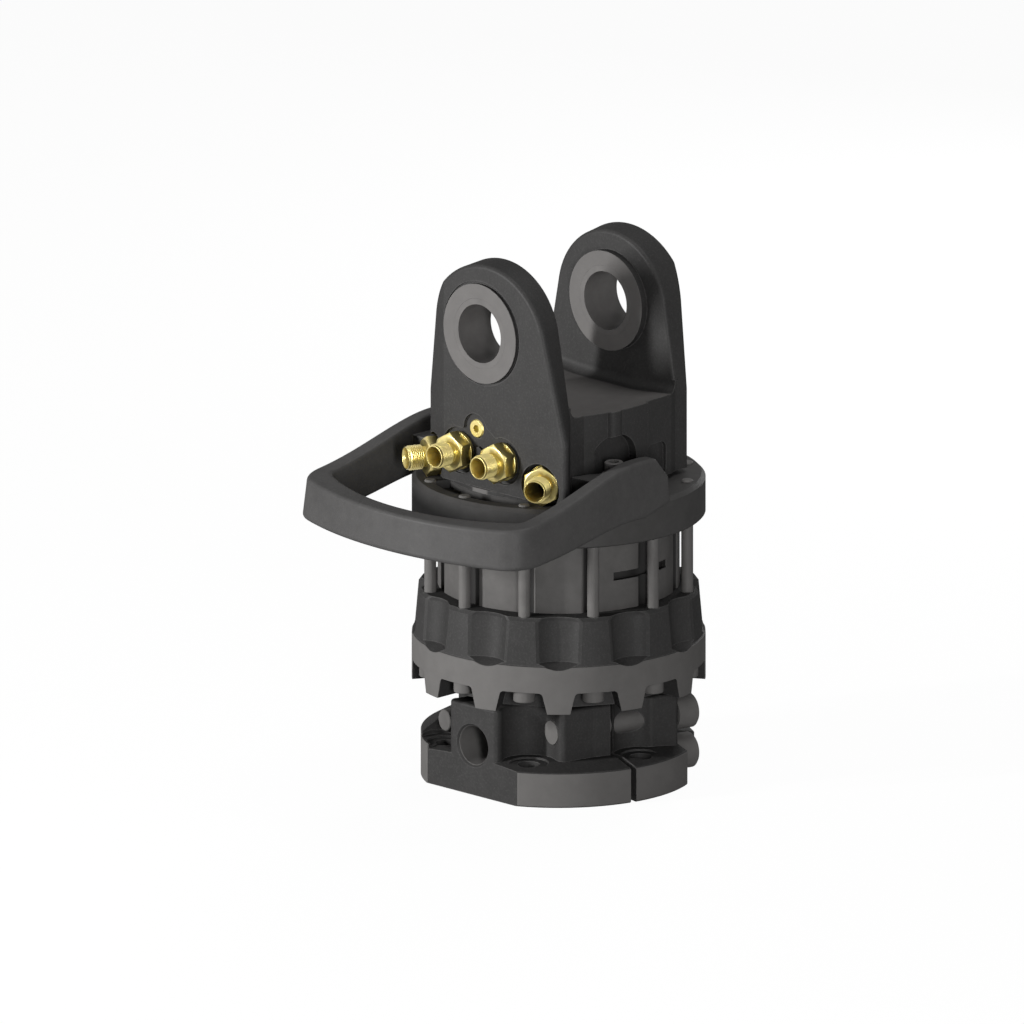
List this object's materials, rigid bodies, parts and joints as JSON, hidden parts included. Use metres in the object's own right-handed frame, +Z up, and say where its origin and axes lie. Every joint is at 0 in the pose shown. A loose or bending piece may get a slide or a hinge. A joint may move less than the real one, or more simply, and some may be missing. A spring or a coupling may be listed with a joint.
{
  "type": "hydraulic rotator",
  "caption": "Hydraulic rotator with a two-eared link housing on top, a hose guard round its ports, a vane motor in the middle and a clamped, flanged bracket that turns below.",
  "frame": {"origin": "on the turning axis, in the machined bottom face of the lower bracket", "axes": "+Z up along the turning axis towards the ears; the ears' pin lies along Y; the ports and the hose guard face -Y; +X to the right seen from the guard"},
  "size_m": [0.3186, 0.3929, 0.547],
  "materials": {
    "black_casting": "rough black-coated casting",
    "black_steel": "machined and blackened steel",
    "bare_steel": "oiled bare steel",
    "yellow_zinc": "yellow-passivated, satin",
    "bronze": "bearing bronze",
    "seal_rubber": "black seal rubber"
  },
  "bodies": {
    "upper": {"link_housing": "black_casting", "front_pin_bush": "black_steel", "rear_pin_bush": "black_steel", "tool_port_adapters": "yellow_zinc", "motor_port_adapters": "yellow_zinc", "adapter_seal_rings": "seal_rubber", "test_plug": "yellow_zinc", "hose_guard": "black_casting", "guard_bolts": "black_steel", "guard_washers": "black_steel", "upper_flange": "black_casting", "tie_bolts": "black_steel", "link_bolts": "bare_steel", "joint_seal": "seal_rubber", "stator_ring": "black_steel", "upper_stator_seal": "seal_rubber", "lower_stator_seal": "seal_rubber", "dowel_pins": "bare_steel", "upper_wear_plate": "bronze", "lower_wear_plate": "bronze", "motor_base": "bare_steel", "lower_housing": "black_casting", "bearing_outer_ring": "bare_steel", "shaft_bush": "bronze", "swivel_seals": "seal_rubber", "shaft_seal": "seal_rubber"},
    "output": {"output_shaft": "bare_steel", "rotor": "bare_steel", "rotor_keys": "bare_steel", "vanes": "bare_steel", "vane_springs": "bare_steel", "bearing_inner_ring": "bare_steel", "bearing_ring_nut": "bare_steel", "lower_bracket": "black_casting", "clamp_bolts": "black_steel", "lock_pin": "bare_steel", "dust_seal": "seal_rubber"},
    "ball_set": {"bearing_balls": "bare_steel", "bearing_cage": "bronze"}
  },
  "joints": [
    {"name": "rotation", "type": "hinge", "parent": "upper", "child": "output", "pos_m": [0, 0, 0.1], "axis": [0, 0, 1], "continuous": true},
    {"name": "ball_orbit", "type": "hinge", "parent": "upper", "child": "ball_set", "pos_m": [0, 0, 0.1], "axis": [0, 0, 1], "continuous": true}
  ],
  "couplings": [
    {"joint": "ball_orbit", "follows": "rotation", "ratio": 0.43878}
  ]
}
